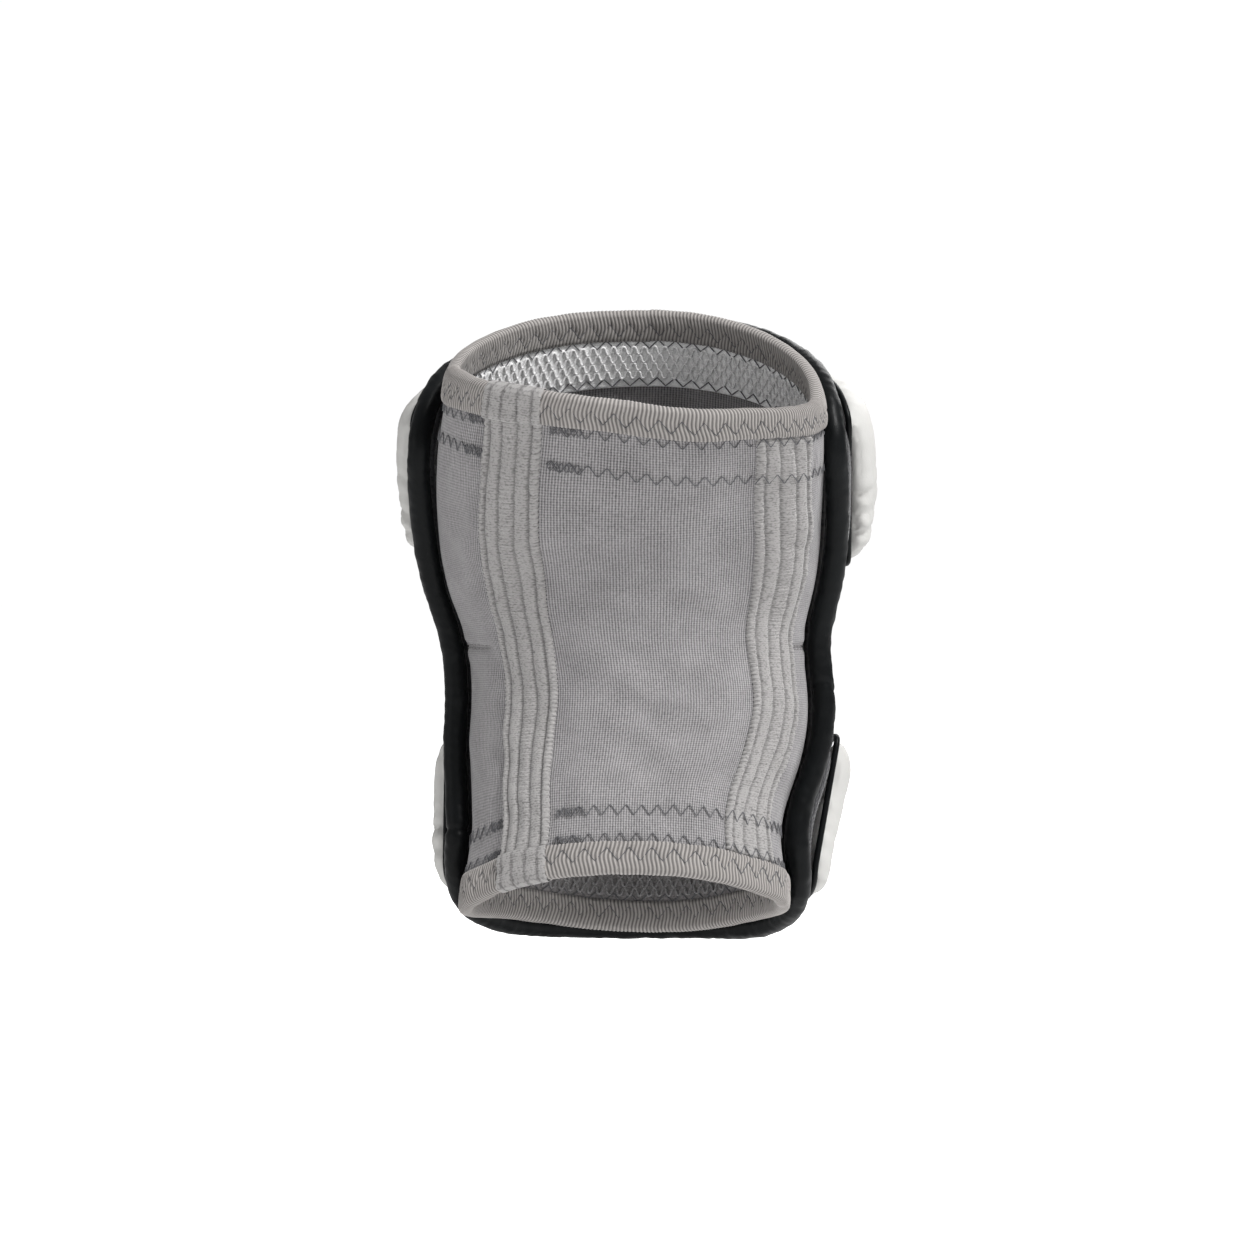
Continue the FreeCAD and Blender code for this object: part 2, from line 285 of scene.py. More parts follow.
def new_material(name, color, roughness, **sockets):
    mat = bpy.data.materials.new(name)
    mat.use_nodes = True
    tree = mat.node_tree
    shader = tree.nodes["Principled BSDF"]
    shader.inputs["Base Color"].default_value = (*color, 1)
    shader.inputs["Roughness"].default_value = roughness
    for key, value in sockets.items():
        shader.inputs[key.replace("_", " ")].default_value = value
    return mat, tree, shader


def node(tree, kind, inputs=(), **settings):
    made = tree.nodes.new(kind)
    for key, value in settings.items():
        setattr(made, key, value)
    for key, value in dict(inputs).items():
        socket = made.inputs[key]
        if isinstance(value, bpy.types.NodeSocket):
            tree.links.new(value, socket)
        else:
            socket.default_value = value
    return made


def math_node(tree, operation, a, b=0.0, c=0.0):
    made = node(tree, "ShaderNodeMath", {0: a, 1: b, 2: c}, operation=operation)
    return made.outputs[0]


def mapped(tree, source, scale):
    return node(tree, "ShaderNodeMapping", {"Vector": source, "Scale": scale}).outputs[0]


def stripes(tree, coordinate, pitch):
    """A ridge every pitch metres along a coordinate, from 0 to 1."""
    turned = math_node(tree, "MULTIPLY", coordinate, 2 * math.pi / pitch)
    return math_node(tree, "MULTIPLY_ADD", math_node(tree, "SINE", turned), 0.5, 0.5)


def tint(tree, shader, factor, low, high, position=(0.3, 0.7)):
    ramp = node(tree, "ShaderNodeValToRGB", {"Fac": factor})
    ramp.color_ramp.elements[0].position, ramp.color_ramp.elements[1].position = position
    ramp.color_ramp.elements[0].color = (*low, 1)
    ramp.color_ramp.elements[1].color = (*high, 1)
    tree.links.new(ramp.outputs["Color"], shader.inputs["Base Color"])
    return ramp


def bumped(tree, shader, height, distance, strength=1.0, under=None):
    made = node(tree, "ShaderNodeBump", {"Strength": strength, "Distance": distance, "Height": height})
    if under is not None:
        tree.links.new(under, made.inputs["Normal"])
    tree.links.new(made.outputs[0], shader.inputs["Normal"])
    return made.outputs[0]


def uv_axes(tree):
    uv = node(tree, "ShaderNodeUVMap", uv_map="UVMap").outputs[0]
    split = node(tree, "ShaderNodeSeparateXYZ", {0: uv})
    return uv, split.outputs[0], split.outputs[1]


def noise_node(tree, vector, scale, detail=3.0, rough=0.6):
    settings = {"Vector": vector, "Scale": scale, "Detail": detail, "Roughness": rough}
    return node(tree, "ShaderNodeTexNoise", settings).outputs[0]


def shade(color, factor):
    return tuple(min(1.0, c * factor) for c in color)


def jersey(name, color):
    mat, tree, shader = new_material(name, color, 0.88, Sheen_Weight=0.25, Sheen_Roughness=0.5)
    uv, u, v = uv_axes(tree)
    wobble = noise_node(tree, uv, 900, 2)
    u_bent = math_node(tree, "MULTIPLY_ADD", wobble, 0.00035, u)
    ribs = stripes(tree, u_bent, 0.00125)
    loops = stripes(tree, math_node(tree, "MULTIPLY_ADD", wobble, 0.0003, v), 0.0011)
    knit = math_node(tree, "MULTIPLY_ADD", loops, 0.35, math_node(tree, "MULTIPLY", ribs, 0.75))
    heather = noise_node(tree, mapped(tree, uv, (1150, 620, 1)), 1.0, 3, 0.75)
    cloud = noise_node(tree, uv, 55, 3)
    mixed = math_node(tree, "MULTIPLY_ADD", knit, 0.42, math_node(tree, "MULTIPLY", heather, 0.5))
    mixed = math_node(tree, "MULTIPLY_ADD", cloud, 0.25, mixed)
    tint(tree, shader, mixed, shade(color, 0.22), shade(color, 1.6), (0.3, 0.85))
    bumped(tree, shader, math_node(tree, "MULTIPLY_ADD", heather, 0.5, knit), 0.00022, 0.8)
    return mat


def terry(name, color):
    """Short looped pile, for the tapes, its colour darkened along the stitch rows as painted shade in their
    grooves.
    """
    mat, tree, shader = new_material(name, color, 0.92, Sheen_Weight=0.3, Sheen_Roughness=0.5)
    uv, u, v = uv_axes(tree)
    loops = node(tree, "ShaderNodeTexVoronoi", {"Vector": mapped(tree, uv, (1150, 1500, 1)), "Scale": 1.0})
    fuzz = noise_node(tree, uv, 2300, 3, 0.7)
    ribs = stripes(tree, v, 0.00105)
    raised = math_node(tree, "SUBTRACT", 1.0, loops.outputs["Distance"])
    height = math_node(tree, "MULTIPLY_ADD", fuzz, 0.7, raised)
    height = math_node(tree, "MULTIPLY_ADD", ribs, 0.3, height)
    # Near the stitch rows, where the tape is sewn down into grooves, the pile's height and colour are
    # lowered: the darker colour there is painted shade.
    side = math_node(tree, "ABSOLUTE", u)
    rows = []
    for row in ROWS[2:]:
        rows.append(math_node(tree, "ABSOLUTE", math_node(tree, "SUBTRACT", side, 0.001 * TAPE_UV * row)))
    away = math_node(tree, "DIVIDE", math_node(tree, "MINIMUM", *rows), 0.0011)
    away = math_node(tree, "MINIMUM", away, 1.0)
    height = math_node(tree, "MULTIPLY", height, math_node(tree, "MULTIPLY_ADD", away, 0.5, 0.5))
    tint(tree, shader, height, shade(color, 0.45), shade(color, 1.2), (0.3, 1.4))
    bumped(tree, shader, height, 0.0002, 0.6)
    return mat


def ribbed(name, color):
    """Elastic with fine cross ribs, which the mesh has too. Its colour is painted lighter on the rib crests
    and darker in the grooves, as painted highlight and painted shade, over fibre and tone that vary.
    """
    mat, tree, shader = new_material(name, color, 0.75, Sheen_Weight=0.25, Sheen_Roughness=0.4)
    uv, u, _ = uv_axes(tree)
    ribs = stripes(tree, u, 0.001 * RIB_PITCH)
    fibre = noise_node(tree, mapped(tree, uv, (3200, 700, 1)), 1.0, 3, 0.7)
    cloud = noise_node(tree, uv, 80, 2)
    factor = math_node(tree, "MULTIPLY_ADD", fibre, 0.3, math_node(tree, "MULTIPLY", ribs, 0.75))
    factor = math_node(tree, "MULTIPLY_ADD", cloud, 0.2, factor)
    # Light rib crests and dark grooves in this colour are painted highlight and painted shade; the fibre
    # and cloud noise are the elastic's own tone.
    tint(tree, shader, factor, shade(color, 0.35), shade(color, 1.45), (0.15, 1.0))
    bumped(tree, shader, factor, 0.00018, 0.7)
    return mat


def knit_band(name, color, dim):
    """The grip bands' open knit, with the holes' colour dimmed."""
    mat, tree, shader = new_material(name, color, 0.9, Sheen_Weight=0.2)
    uv = uv_axes(tree)[0]
    holes = node(tree, "ShaderNodeTexVoronoi", {"Vector": mapped(tree, uv, (800, 1250, 1)), "Scale": 1.0})
    fuzz = noise_node(tree, uv, 1700, 2)
    height = math_node(tree, "MULTIPLY_ADD", fuzz, 0.4, holes.outputs["Distance"])
    tint(tree, shader, height, shade(color, dim), shade(color, 1.15), (0.2, 0.85))
    bumped(tree, shader, height, 0.0003, 0.7)
    return mat


def thread(name, color):
    """Twisted thread, and the silicone rows."""
    mat, tree, shader = new_material(name, color, 0.6, Sheen_Weight=0.2)
    place = node(tree, "ShaderNodeTexCoord").outputs["Object"]
    twist = noise_node(tree, place, 1800, 2)
    tint(tree, shader, twist, shade(color, 0.6), shade(color, 1.5), (0.3, 0.7))
    bumped(tree, shader, twist, 0.0001, 0.5)
    return mat


def leather(name, color, roughness, grain, wear, gloss):
    """Grained artificial leather, with soft creases and faint wear."""
    mat, tree, shader = new_material(name, color, roughness, Specular_IOR_Level=gloss)
    place = node(tree, "ShaderNodeTexCoord").outputs["Object"]
    settings = {"Vector": place, "Scale": grain}
    cells = node(tree, "ShaderNodeTexVoronoi", settings, feature="DISTANCE_TO_EDGE")
    pores = math_node(tree, "MINIMUM", cells.outputs["Distance"], 0.25)
    folds = noise_node(tree, place, 60, 4, 0.55)
    worn = noise_node(tree, place, 22, 3)
    tint(tree, shader, worn, shade(color, 1 - wear), shade(color, 1 + wear), (0.35, 0.65))
    limits = {"Value": worn, "To Min": roughness - 0.06, "To Max": roughness + 0.08}
    rough = node(tree, "ShaderNodeMapRange", limits)
    tree.links.new(rough.outputs[0], shader.inputs["Roughness"])
    under = bumped(tree, shader, folds, 0.0006, 0.6)
    bumped(tree, shader, pores, 0.0002, 0.45, under)
    return mat


def mesh_cloth(name, color):
    """Black knitted mesh with small holes."""
    mat, tree, shader = new_material(name, color, 0.85, Sheen_Weight=0.35, Sheen_Roughness=0.4)
    place = node(tree, "ShaderNodeTexCoord").outputs["Object"]
    holes = node(tree, "ShaderNodeTexVoronoi", {"Vector": place, "Scale": 560.0, "Randomness": 0.35})
    fuzz = noise_node(tree, place, 1500, 2)
    solid = math_node(tree, "MINIMUM", holes.outputs["Distance"], 0.55)
    height = math_node(tree, "MULTIPLY_ADD", fuzz, 0.3, solid)
    tint(tree, shader, height, shade(color, 0.35), shade(color, 2.2), (0.25, 0.8))
    bumped(tree, shader, height, 0.0006, 0.9)
    return mat


GREY = (0.262, 0.253, 0.258)
M_JERSEY = jersey("grey_jersey", GREY)
M_LINING = jersey("grey_lining", shade(GREY, 0.8))
M_TAPE = terry("tape_terry", (0.293, 0.284, 0.28))
M_BIND = ribbed("ribbed_elastic", (0.275, 0.258, 0.247))
M_BAND = knit_band("grip_knit", (0.95, 0.94, 0.94), 0.86)
# The lower grip band and its silicone rows are darker copies of the upper ones: painted shade for the
# inside of the shin opening.
M_BAND_PAINTED_SHADE = knit_band("grip_knit_painted_shade", (0.20, 0.19, 0.19), 0.6)
M_SILICONE = thread("silicone", (0.93, 0.92, 0.92))
M_SILICONE_PAINTED_SHADE = thread("silicone_painted_shade", (0.19, 0.185, 0.185))
M_DARK = thread("dark_thread", (0.09, 0.09, 0.097))
M_GREY_THREAD = thread("grey_thread", (0.20, 0.19, 0.19))
M_BLACK = thread("black_thread", (0.02, 0.02, 0.022))
M_ROLL = leather("black_leather", (0.003, 0.0037, 0.0042), 0.42, 900.0, 0.3, 0.13)
M_MESH = mesh_cloth("black_mesh", (0.014, 0.014, 0.016))
M_CUSHION = leather("white_leather", (0.54, 0.534, 0.517), 0.55, 700.0, 0.03, 0.3)


def finish_piece(obj, bodies, nodes=()):
    """Rides a piece on its body, or bakes its transform when it spans both halves, and hides the CAD parts
    it stands for.
    """
    if isinstance(bodies, str):
        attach(obj, bodies)
    else:
        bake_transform(obj)
    if nodes:
        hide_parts(*nodes)
    return obj


# ---- sleeve

def dart(s, a):
    """The groove of the short seam at knee height, on each side panel."""
    away = abs(s - 2.0)
    near = smooth(abs(wrap(a)), 50, 62)
    return -0.9 * near * np.exp(-(away / 1.6) ** 2) + 0.35 * near * np.exp(-((away - 4) / 3) ** 2)


def build_sleeve():
    left, right = SEAMS
    length = np.linspace(BOTTOM + 0.5, TOP - 0.5, 150)
    back = sheet("back_panel", length, np.linspace(left, right, 60), 0.0, -2.0, M_JERSEY)
    finish_piece(back, BOTH, ["back_panel_upper", "back_panel_lower"])
    for side, low, high in (("left", -FRONT, left), ("right", right, FRONT)):
        angles = np.linspace(low, high, 40 if side == "left" else 30)
        panel = sheet(f"side_panel_{side}", length, angles, dart, -2.0, M_JERSEY)
        finish_piece(panel, BOTH, [f"side_panel_{side}_upper", f"side_panel_{side}_lower"])
    lining = sheet("front_lining", length[::2], np.linspace(FRONT, 360 - FRONT, 90), 0.0, -2.0, M_LINING)
    finish_piece(lining, BOTH, ["front_lining_upper", "front_lining_lower"])


def tape_angle(side, s, share):
    """The angle of a point across a tape, where share is -1 at its left edge and 1 at its right."""
    left = side == "left"
    middle, half = (SEAMS[0], TAPE_HALVES[0]) if left else (SEAMS[1], TAPE_HALVES[1])
    sway = 0.8 * np.sin(s / 33)
    sway = sway - 2.0 if left else 1.2 + 1.3 * np.exp(-((s + 20) / 34) ** 2) - 1.5 * smooth(-s, 60, 108)
    scallop = 0.022 * np.sin(s * 2 * math.pi / 2.3) * smooth(abs(share), 0.9, 1.0)
    return middle + sway + half * share * (1 + scallop)


def tape_height(s, share):
    """A tape's top, over the sleeve: puffed between the stitch rows, with a laddered middle strip."""
    puff = 0
    for low, high in zip((-1.0,) + ROWS, ROWS + (1.0,)):
        middle, half = (low + high) / 2, (high - low) / 2
        puff = np.maximum(puff, np.sqrt(np.clip(1 - ((share - middle) / half) ** 2, 0, 1)))
    ladder = (abs(share) < 0.25) * 0.16 * np.sin(s * 2 * math.pi / 1.9)
    edge = (abs(share) > 0.76) * 0.14 * np.sin(s * 2 * math.pi / 2.3)
    return 0.45 + 1.25 * puff + ladder + edge + 0.12 * ripple(s, share * 11, 7, 31)


def build_tape(side):
    under = side == "right"
    low = BOTTOM + (2 if under else BIND - 1)
    high = TOP - (2 if under else BIND - 1)
    s = np.arange(low, high, 0.42)
    share = np.linspace(-1, 1, 47)
    grid_s, grid_share = np.meshgrid(s, share, indexing="ij")
    angle = tape_angle(side, grid_s, grid_share)
    squeeze = 1.0
    if under:
        bound = smooth(grid_s, TOP - BIND - 2, TOP - BIND)
        bound = bound + smooth(-grid_s, -BOTTOM - BIND - 2, -BOTTOM - BIND)
        squeeze = 1 - 0.75 * bound
    outer = cloth(grid_s, angle, 0.15 + tape_height(grid_s, grid_share) * squeeze)
    inner = cloth(grid_s, angle, 0.05)
    points, faces = shell(outer, inner)
    uv = np.stack([grid_share * TAPE_UV, grid_s], -1).reshape(-1, 2)
    tape = make(f"seam_tape_{side}", points, faces, np.concatenate([uv, uv]), M_TAPE)
    finish_piece(tape, BOTH, [f"seam_tape_{side}_upper", f"seam_tape_{side}_lower"])
    parts = []
    fine = np.arange(low + 1, high - 1, 0.5)
    for row in ROWS:
        route = cloth(fine, tape_angle(side, fine, row + 0 * fine), 0.82)
        parts.append(stitches(route, 2.3, 0.55, 0.24))
    sewn = make(f"tape_stitches_{side}", *together(parts), material=M_GREY_THREAD)
    finish_piece(sewn, BOTH)


def zigzag(middle, low, high, pitch, height, d, phase=0.0, scale=1.32):
    """A zigzag thread round the leg. middle(a) gives the s of its centre line."""
    count = max(4, int((high - low) * scale / pitch * 8))
    a = np.linspace(low, high, count + 1)
    turn = (a - low) * scale / pitch + phase
    wave = 2 * abs(2 * (turn - np.floor(turn + 0.5))) - 1
    wave = np.clip(wave * 1.12, -1, 1)
    sunk = np.where(abs(wave) > 0.93, 0.12, 0.0)
    return cloth(middle(a) + height / 2 * wave, a, d - sunk)


def build_zigzags():
    def top_low(a):
        return TOP - BIND - (17.5 + 4.5 * np.sin(np.radians(a)))

    def top_high(a):
        return TOP - BIND - 2.2 + 0 * a

    def low_high(a):
        return BOTTOM + BIND + (14.5 + 1.5 * np.sin(np.radians(a)))

    def low_low(a):
        return BOTTOM + BIND + 2.0 + 0 * a

    for name, rows, body in (("top", (top_high, top_low), THIGH), ("bottom", (low_high, low_low), SHIN)):
        parts = []
        for k, row in enumerate(rows):
            left, right = SEAMS
            edge_left, edge_right = left - TAPE_HALVES[0], left + TAPE_HALVES[0]
            spans = (
                (-89, edge_left - 0.5, 0.45),
                (edge_right + 0.5, right - TAPE_HALVES[1] - 0.5, 0.45),
                (right - TAPE_HALVES[1], 89, 1.75),
            )
            for low, high, d in spans:
                if high == 89:
                    def d_over(a):
                        share = (a - SEAMS[1] + 1.5) / TAPE_HALVES[1]
                        return np.where(abs(share) < 1.05, 1.75, 0.45)
                    a_line = np.linspace(low, high, 400)
                    turn = (a_line - low) * 1.3 / 7.6
                    wave = np.clip((2 * abs(2 * (turn - np.floor(turn + 0.5))) - 1) * 1.12, -1, 1)
                    line = cloth(row(a_line) + 2.1 * wave, a_line, d_over(a_line))
                else:
                    line = zigzag(row, low, high, 7.6, 4.4, d, phase=0.3 * k)
                parts.append(tube(line, 0.22, 6))
            for low, high in ((edge_right + 0.5, edge_right + 11), (edge_left - 11, edge_left - 0.5)):
                for phase in (0.1, 0.6):
                    parts.append(tube(zigzag(row, low, high, 4.3, 3.4, 0.6, phase=phase), 0.19, 6))
        sewn = make(f"{name}_zigzag", *together(parts), material=M_DARK)
        finish_piece(sewn, body)


def build_dart_stitches():
    parts = []
    spans = ((-93, SEAMS[0] - TAPE_HALVES[0] - 1), (SEAMS[1] + TAPE_HALVES[1] + 1, 93))
    for low, high in spans:
        a = np.linspace(low, high, 120)
        for offset in (1.1, 2.9):
            parts.append(stitches(cloth(offset + 0 * a, a, -0.25), 1.7, 0.8, 0.2))
    sewn = make("dart_stitches", *together(parts), material=M_GREY_THREAD)
    finish_piece(sewn, BOTH)


# ---- rims

def build_binding(name, rim, inward, body):
    """The fold-over elastic: a U round the rim, with cross ribs, drawn in along its zigzag."""
    out = -inward
    legs = []
    for t in np.linspace(0, 1, 15):
        legs.append((rim + inward * BIND * (1 - t), 1.55 + 0.5 * math.sin(t * math.pi) ** 0.5))
    turn = [math.radians(k) for k in (15, 40, 65, 90, 115, 140, 165)]
    cap = [(rim + out * 1.9 * math.sin(q), -1.0 + 2.55 * math.cos(q)) for q in turn]
    inner_leg = [(s, -2.0 - d) for s, d in legs[::-2]]
    hidden = [(rim + inward * BIND, -2.35), (rim + inward * 1.2, -2.2), (rim + inward * 0.5, -1.0),
              (rim + inward * 1.2, 0.2), (rim + inward * BIND, 0.35)]
    profile = np.array(legs + cap + inner_leg + hidden)
    outside = len(legs) + len(cap) + len(inner_leg)
    ahead = np.roll(profile, -1, 0) - np.roll(profile, 1, 0)
    normal = np.stack([ahead[:, 1], -ahead[:, 0]], -1) * (1 if inward > 0 else -1)
    normal /= np.linalg.norm(normal, axis=1)[:, None]
    away = np.where(profile[:, 1] > -1, 1, -1)[:, None]
    normal = np.where((normal[:, 1:] * away) < -0.2, -normal, normal)
    around = through(WIDTHS, np.array([rim]))[0] * 5.6
    ribs = int(around / RIB_PITCH)
    count = ribs * 4
    a = np.arange(count) * 360 / count
    u = a / 360 * around
    rib = abs(np.sin(np.arange(count) * math.pi / 4))
    turns = round(around / 7.8)
    swing = 2 * abs(2 * (a / 360 * turns - np.floor(a / 360 * turns + 0.5))) - 1
    middle = rim + inward * (BIND * 0.52)
    sewn_s = middle + 2.7 * swing
    s = np.broadcast_to(profile[:, 0], (count, len(profile))).copy()
    d = np.broadcast_to(profile[:, 1], (count, len(profile))).copy()
    lift = 0.32 * rib[:, None] - 0.6 * np.exp(-((s - sewn_s[:, None]) / 1.1) ** 2)
    lift = lift + 0.12 * ripple(u[:, None], s, 14, 9)
    shown = np.arange(len(profile)) < outside
    lift = np.where(shown[None], lift, 0)
    slant = 0.9 * np.sin(s * 0.5)
    s = s + normal[None, :, 0] * lift
    d = d + normal[None, :, 1] * lift
    grid_a = a[:, None] + slant * 360 / around * 0.5
    points = cloth(s, grid_a, d)
    n, m = points.shape[:2]
    faces = grid_faces(n, m, 0, inward < 0, True, True)
    # The UV is lined up so the painted highlight lies on each rib's crest and the painted shade in each
    # groove.
    rib_u = (np.arange(count) / 4 - 0.25) * RIB_PITCH
    uv = np.stack([rib_u[:, None] + 0 * s, s], -1).reshape(-1, 2)
    binding = make(f"{name}_rim_elastic", points.reshape(-1, 3), faces, uv, M_BIND)
    finish_piece(binding, body, [f"{name}_binding"])
    line_a = np.arange(turns * 12) * 360 / (turns * 12)
    turn = line_a / 360 * turns
    wave = 2 * abs(2 * (turn - np.floor(turn + 0.5))) - 1
    parts = []
    for d_line in (1.75, -3.75):
        line = cloth(middle + 2.7 * np.clip(1.1 * wave, -1, 1), line_a, d_line)
        parts.append(tube(line, 0.22, 6, True))
    sewn = make(f"{name}_rim_stitches", *together(parts), material=M_DARK)
    finish_piece(sewn, body)


def build_tape_end(name, rim, inward, body):
    """The left tape's end, folded over the binding on both sides."""
    reach = BIND + 0.5
    legs = []
    for t in np.linspace(0, 1, 28):
        legs.append((rim + inward * reach * (1 - t), 2.35 + 0.5 * math.sin(t * math.pi) ** 0.5))
    cap = []
    for q in np.linspace(0.2, math.pi - 0.2, 9):
        cap.append((rim - inward * 2.9 * math.sin(q), -1.0 + 3.35 * math.cos(q)))
    top = np.array(legs + cap + [(s, -2.0 - d) for s, d in legs[::-1]])
    share = np.linspace(-1, 1, 47)
    index = np.arange(len(top))
    ribbing = 0.3 * (tape_height(index[:, None] * 0.45, share[None]) - 1.2)
    wrinkle = 0.35 * ripple(share[None] * 11, index[:, None] * 0.45, 9, 12)
    thick = np.where(top[:, 1] > -1, 1, -1)[:, None] * (ribbing + wrinkle)
    s = top[:, 0][:, None] + 0 * thick
    d = top[:, 1][:, None] + thick
    angle = tape_angle("left", s, np.broadcast_to(share, s.shape))
    outer = cloth(s, angle, d)
    tuck = 1.3
    s_in = rim + (s - rim) * 0.93
    inner = cloth(s_in, angle, -1 + (d + 1) * (1 - tuck / 4.2))
    points, faces = shell(outer, inner, inward < 0)
    along = np.broadcast_to(index[:, None] * 0.45, s.shape)
    uv = np.stack([np.broadcast_to(share * TAPE_UV, s.shape), along], -1).reshape(-1, 2)
    end = make(f"{name}_tape_fold", points, faces, np.concatenate([uv, uv]), M_TAPE)
    finish_piece(end, body, [f"{name}_tape_end"])
    parts = []
    for row in ROWS:
        lift = np.where(top[:, 1] > -1, 0.05, -0.05)
        line = cloth(top[:, 0], tape_angle("left", top[:, 0], row + 0 * top[:, 0]), top[:, 1] + lift)
        parts.append(stitches(line, 2.0, 0.6, 0.23))
    sewn = make(f"{name}_tape_fold_stitches", *together(parts), material=M_GREY_THREAD)
    finish_piece(sewn, body)


def build_grip(name, rim, inward, body, band, silicone):
    """The grip band inside an opening, its wavy rows and the zigzags along its edges."""
    near = rim + inward * (BIND - 2)
    far = near + inward * 24
    s = np.linspace(min(near, far), max(near, far), 26)
    a = np.arange(0, 360, 1.5)
    grid_s, grid_a = np.meshgrid(s, a, indexing="ij")
    wavy = 0.25 * np.sin(np.radians(grid_a) * 44)
    outer, inner = cloth(grid_s, grid_a, -2.1), cloth(grid_s, grid_a, -3.1 + wavy * 0.4)
    n, m = grid_s.shape
    points = np.concatenate([outer.reshape(-1, 3), inner.reshape(-1, 3)])
    sides = [grid_faces(n, m, 0, False, False, True), grid_faces(n, m, n * m, True, False, True)]
    ends = []
    for row, flip in ((0, False), (n - 1, True)):
        k = row * m + np.arange(m)
        k2 = row * m + (np.arange(m) + 1) % m
        quad = np.stack([k2, k, k + n * m, k2 + n * m], -1)
        ends.append(quad[:, ::-1] if flip else quad)
    uv = np.stack([grid_a * 1.2, grid_s], -1).reshape(-1, 2)
    ring = make(f"{name}_grip_knit", points, np.concatenate(sides + ends), np.concatenate([uv, uv]), band)
    finish_piece(ring, body, [f"{name}_grip_band"])
    loops, sewn = [], []
    turns = int(through(WIDTHS, np.array([rim]))[0] * 5.5 / 3.9)
    line_a = np.arange(turns * 14) * 360 / (turns * 14)
    for row in range(4):
        middle = near + inward * (6.3 + row * 3.9)
        phase = line_a / 360 * turns * 2 * math.pi + (row % 2) * math.pi
        lean = 0.9 * np.sin(2 * phase) * 360 / (turns * 3.9 * math.pi * 2)
        line = cloth(middle + 1.75 * np.cos(phase), line_a + lean, -3.55)
        loops.append(tube(line, 0.58, 6, True))
    beads = make(f"{name}_grip_silicone", *together(loops), material=silicone)
    finish_piece(beads, body, [f"{name}_grip_beads"])
    for middle in (near + inward * 3.4, near + inward * 21.6):
        turns_z = int(turns * 3.9 / 6.6)
        line_z = np.arange(turns_z * 12) * 360 / (turns_z * 12)
        turn = line_z / 360 * turns_z
        wave = 2 * abs(2 * (turn - np.floor(turn + 0.5))) - 1
        sewn.append(tube(cloth(middle + 1.9 * wave, line_z, -3.4), 0.27, 6, True))
    threads = make(f"{name}_grip_stitches", *together(sewn), material=M_DARK)
    finish_piece(threads, body)


# ---- pad

PAD_TOP, PAD_BOTTOM, PAD_ANGLE, PAD_CORNER, PAD_CORNER_ANGLE = 114.0, -103.0, 96.0, 26.0, 24.0
PAD_BACK, PAD_FACE = 1.9, 13.4
ROLL_TOP, ROLL_BOTTOM, ROLL_ANGLE, ROLL_RADIUS = 118.0, -106.0, 91.0, 4.8
CUP_HALF, CUP_ANGLE = 31.0, 29.0


def pad_at(s, a, d):
    """The pad's own surface: its lower corners hang a little below its middle."""
    s, a, d = np.broadcast_arrays(*(np.asarray(v, float) for v in (s, a, d)))
    hang = 4.0 * np.exp(-((abs(wrap(a)) - 130) / 26) ** 2) * smooth(-s, 62, 104)
    return at(s - hang, a, d)


def drawn_in(past, corner):
    """How far a rounded corner draws an edge in, from 0 to 1."""
    share = np.clip(past / corner, 0, 1)
    return 1 - np.sqrt(1 - share * share)


def pad_edge(s):
    """The angle of the pad's side edge."""
    past = np.maximum(s - (PAD_TOP - PAD_CORNER), (PAD_BOTTOM + PAD_CORNER) - s)
    return PAD_ANGLE + PAD_CORNER_ANGLE * drawn_in(past, PAD_CORNER)


def from_knee(s, a):
    """Distance over the front from the middle of the knee cup."""
    point = at(s, a, 8.0)
    return np.hypot(point[..., 0], point[..., 2])


def pad_height(s, a, share):
    """The pad's top: rounded edges, a waist at the knee's sides and a well under the knee cup."""
    rim = 1 - np.clip(abs(share), 0, 1)
    rounded = np.sqrt(1 - (1 - np.clip(rim / 0.07, 0, 1)) ** 2)
    ends = np.clip(np.minimum(PAD_TOP - s, s - PAD_BOTTOM) / 6.0, 0, 1)
    rounded = rounded * np.sqrt(1 - (1 - ends) ** 2)
    well = 1 - smooth(from_knee(s, a), 50.0, 56.5)
    waist = (1 - smooth(abs(s), 26, 52)) * smooth(abs(share), 0.5, 0.85)
    height = PAD_BACK + 1.6 + (PAD_FACE - PAD_BACK - 1.6) * rounded * (1 - 0.6 * waist)
    return height * (1 - well) + 2.3 * well + 0.18 * ripple(a * 1.4, s, 26, 41)


def on_pad(s, share, lift=0.1):
    """A line over the pad, where share is -1 at one side edge and 1 at the other."""
    a = 180 + share * (180 - pad_edge(s))
    return pad_at(s, a, pad_height(s, a, share) + lift)


